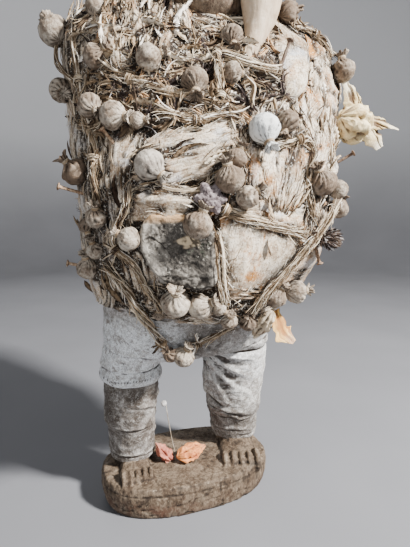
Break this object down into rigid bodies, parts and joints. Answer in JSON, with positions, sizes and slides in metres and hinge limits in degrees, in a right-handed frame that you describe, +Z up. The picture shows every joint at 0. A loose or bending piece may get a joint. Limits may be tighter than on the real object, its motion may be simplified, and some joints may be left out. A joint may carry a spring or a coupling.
{
  "type": "nkisi figure",
  "caption": "Standing carved wooden power figure on an oval base, its trunk wrapped in bark cloth and hung with tied cloth bundles, cords, nails, husks, a horn and a belly plaque.",
  "frame": {"origin": "centre of the flat underside of the oval base", "axes": "+Z up, the figure faces -Y, +X to the right of a viewer who faces it"},
  "size_m": [0.4247, 0.2723, 0.8],
  "materials": {
    "carved_wood": "matt grey-brown wood, dusty, with red-brown wear low on the front of the base",
    "bark_cloth": "dry fibrous bark cloth, pale grey to ochre with dark hollows",
    "leg_cloth": "thin cloth stiff with pale grey clay, purple-brown stains",
    "plant_cord": "dry plaited plant fibre, straw to taupe",
    "bundle_cloth": "tied cloth bundles, dusty taupe",
    "pale_bundle_cloth": "tied cloth bundles dusted with white clay",
    "rusty_iron": "rusted iron nails",
    "plaque_paste": "dark clay and resin paste, mottled with white crust",
    "pale_horn": "smooth worn taupe horn",
    "cream_husk": "papery dried husk, cream",
    "orange_husk": "papery dried husk, pale orange",
    "fallen_husk": "papery dried husk, orange-brown",
    "burr": "knobbly seed head, purple-grey",
    "thread": "thin plant thread"
  },
  "bodies": {
    "root": {"nail_right_breast": "rusty_iron", "nail_left_breast": "rusty_iron", "nail_left_waist": "rusty_iron", "nail_left_hip": "rusty_iron", "nail_right_flank": "rusty_iron", "nail_right_hip": "rusty_iron", "carved_figure": "carved_wood", "torso_wrap": "bark_cloth", "breeches": "leg_cloth", "legging_left": "leg_cloth", "legging_right": "leg_cloth", "thread": "thread", "base_husk_left": "fallen_husk", "base_husk_right": "fallen_husk", "horn_pendant": "pale_horn", "horn_cord": "plant_cord", "belly_plaque": "plaque_paste", "cord_left_side": "plant_cord", "cord_left_hip": "plant_cord", "cord_thigh": "plant_cord", "cord_waist": "plant_cord", "cord_belly": "plant_cord", "cord_right_diagonal": "plant_cord", "cord_belly_strip": "plant_cord", "cord_upper_chest": "plant_cord", "cord_lower_chest": "plant_cord", "cord_right_chest": "plant_cord", "cord_right_shoulder": "plant_cord", "cord_right_side": "plant_cord", "cord_crotch": "plant_cord", "cord_back_upper": "plant_cord", "cord_back_lower": "plant_cord", "knobbly_burr": "burr", "cream_husk": "cream_husk", "orange_husk": "orange_husk", "fibre_tuft_right": "plant_cord", "bundle_left_shoulder": "bundle_cloth", "bundle_left_collar": "bundle_cloth", "bundle_left_breast": "bundle_cloth", "bundle_row_left": "bundle_cloth", "bundle_breastbone": "bundle_cloth", "bundle_under_chin": "bundle_cloth", "bundle_great": "pale_bundle_cloth", "bundle_rough": "bundle_cloth", "bundle_right_shoulder": "bundle_cloth", "bundle_right_collar": "bundle_cloth", "bundle_left_waist": "pale_bundle_cloth", "bud_left_waist": "bundle_cloth", "bundle_left_flank": "bundle_cloth", "bundle_beside_plaque": "bundle_cloth", "bundle_over_plaque": "bundle_cloth", "bundle_middle_pair": "bundle_cloth", "bundle_middle_cloth": "bundle_cloth", "bundle_right_waist": "pale_bundle_cloth", "nut_right_waist": "bundle_cloth", "bundle_left_hip": "bundle_cloth", "bundle_front_pair": "pale_bundle_cloth", "bundle_front_small": "bundle_cloth", "bundle_right_hip_pair": "bundle_cloth", "bundle_front_cloth": "bundle_cloth"}
  },
  "joints": []
}
